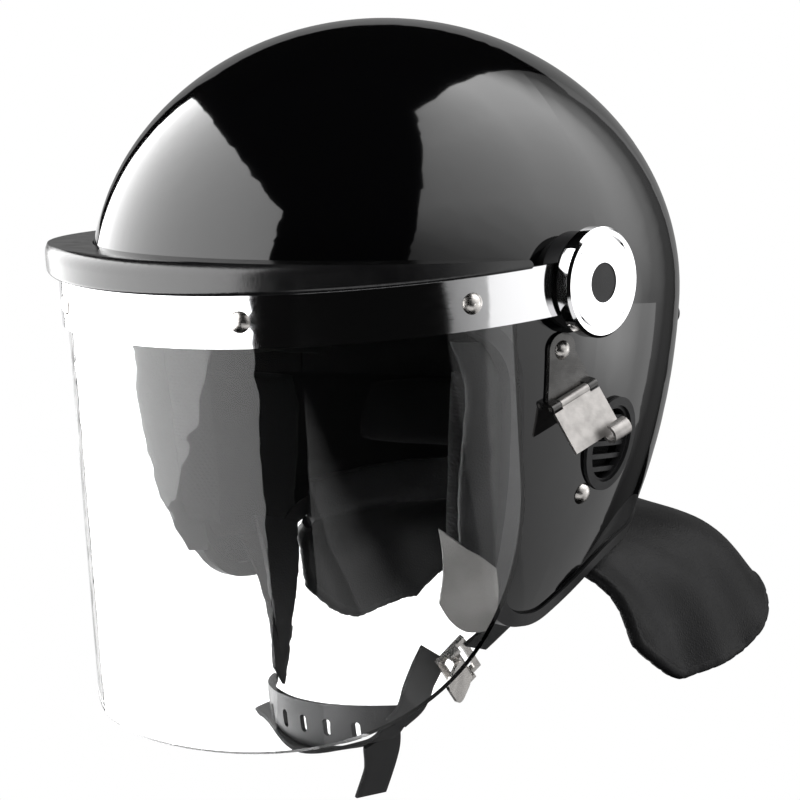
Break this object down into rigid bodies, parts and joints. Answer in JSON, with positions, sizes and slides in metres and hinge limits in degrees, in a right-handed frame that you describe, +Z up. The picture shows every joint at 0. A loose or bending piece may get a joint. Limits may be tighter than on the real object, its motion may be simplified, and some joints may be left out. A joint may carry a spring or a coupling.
{
  "type": "riot helmet",
  "caption": "Hard-shell riot helmet with a hinged clear face shield, padded neck guard, mask clips and a chin harness.",
  "frame": {"origin": "top of the wearer's head, at the middle of the crown pad's underside", "axes": "+Z up, -Y the way the wearer faces, +X the wearer's left"},
  "size_m": [0.2824, 0.3502, 0.3545],
  "materials": {
    "shell_paint": "gloss",
    "trim_rubber": "matte",
    "liner_foam": "matte",
    "pad_cloth": "matte",
    "bright_metal": "polished",
    "clear_lens": "gloss",
    "steel": "brushed",
    "black_metal": "satin",
    "webbing": "woven",
    "cup_rubber": "satin",
    "guard_leather": "satin",
    "black_plastic": "satin",
    "nylon": "satin"
  },
  "bodies": {
    "helmet": {"shell": "shell_paint", "edge_trim": "trim_rubber", "impact_liner": "liner_foam", "crown_pad": "pad_cloth", "brow_pad": "pad_cloth", "nape_pad": "pad_cloth", "strap_right": "webbing", "strap_upper_left": "webbing", "strap_lower_left": "webbing", "buckle_frame": "steel", "buckle_pin": "steel", "chin_cup": "cup_rubber", "chin_web": "webbing", "strap_tail": "webbing", "neck_guard": "guard_leather", "temple_pad_left": "pad_cloth", "temple_pad_right": "pad_cloth", "cheek_pad_left": "pad_cloth", "cheek_pad_right": "pad_cloth", "pivot_base_left": "black_plastic", "pivot_base_right": "black_plastic", "pivot_bush_left": "nylon", "pivot_bush_right": "nylon", "pivot_cap_left": "bright_metal", "pivot_cap_right": "bright_metal", "pivot_screw_left": "steel", "pivot_screw_right": "steel", "pivot_plug_left": "black_plastic", "pivot_plug_right": "black_plastic", "pivot_nut_left": "steel", "pivot_nut_right": "steel", "clip_base_left": "steel", "clip_base_right": "steel", "clip_pin_left": "steel", "clip_pin_right": "steel", "clip_rivet_left": "steel", "clip_rivet_right": "steel", "ear_vent_left": "black_plastic", "ear_vent_right": "black_plastic", "anchor_rivet_left": "steel", "anchor_rivet_right": "steel", "rear_stud_left": "black_metal", "rear_stud_right": "black_metal"},
    "face_shield": {"shield_band": "bright_metal", "shield_lens": "clear_lens", "brow_seal": "trim_rubber", "band_rivets": "steel", "band_washers": "steel"},
    "mask_clip_left": {"clip_plate_left": "steel"},
    "mask_clip_right": {"clip_plate_right": "steel"},
    "buckle_lever": {"buckle_lever": "steel"}
  },
  "joints": [
    {"name": "shield_hinge", "type": "hinge", "parent": "helmet", "child": "face_shield", "pos_m": [0, -0.015, -0.0754], "axis": [-1, 0, 0], "range_deg": [0, 85]},
    {"name": "mask_clip_left_hinge", "type": "hinge", "parent": "helmet", "child": "mask_clip_left", "pos_m": [0.12245, -0.01608, -0.12482], "axis": [-0.1262, -0.901, -0.415], "range_deg": [0, 60], "stiffness_Nm_per_rad": 0.02},
    {"name": "mask_clip_right_hinge", "type": "hinge", "parent": "helmet", "child": "mask_clip_right", "pos_m": [-0.12245, -0.01608, -0.12482], "axis": [-0.1262, 0.901, 0.415], "range_deg": [0, 60], "stiffness_Nm_per_rad": 0.02},
    {"name": "buckle_lever_hinge", "type": "hinge", "parent": "helmet", "child": "buckle_lever", "pos_m": [0.05607, -0.00225, -0.25336], "axis": [0.2507, -0.7802, 0.573], "range_deg": [0, 60], "stiffness_Nm_per_rad": 0.01}
  ]
}
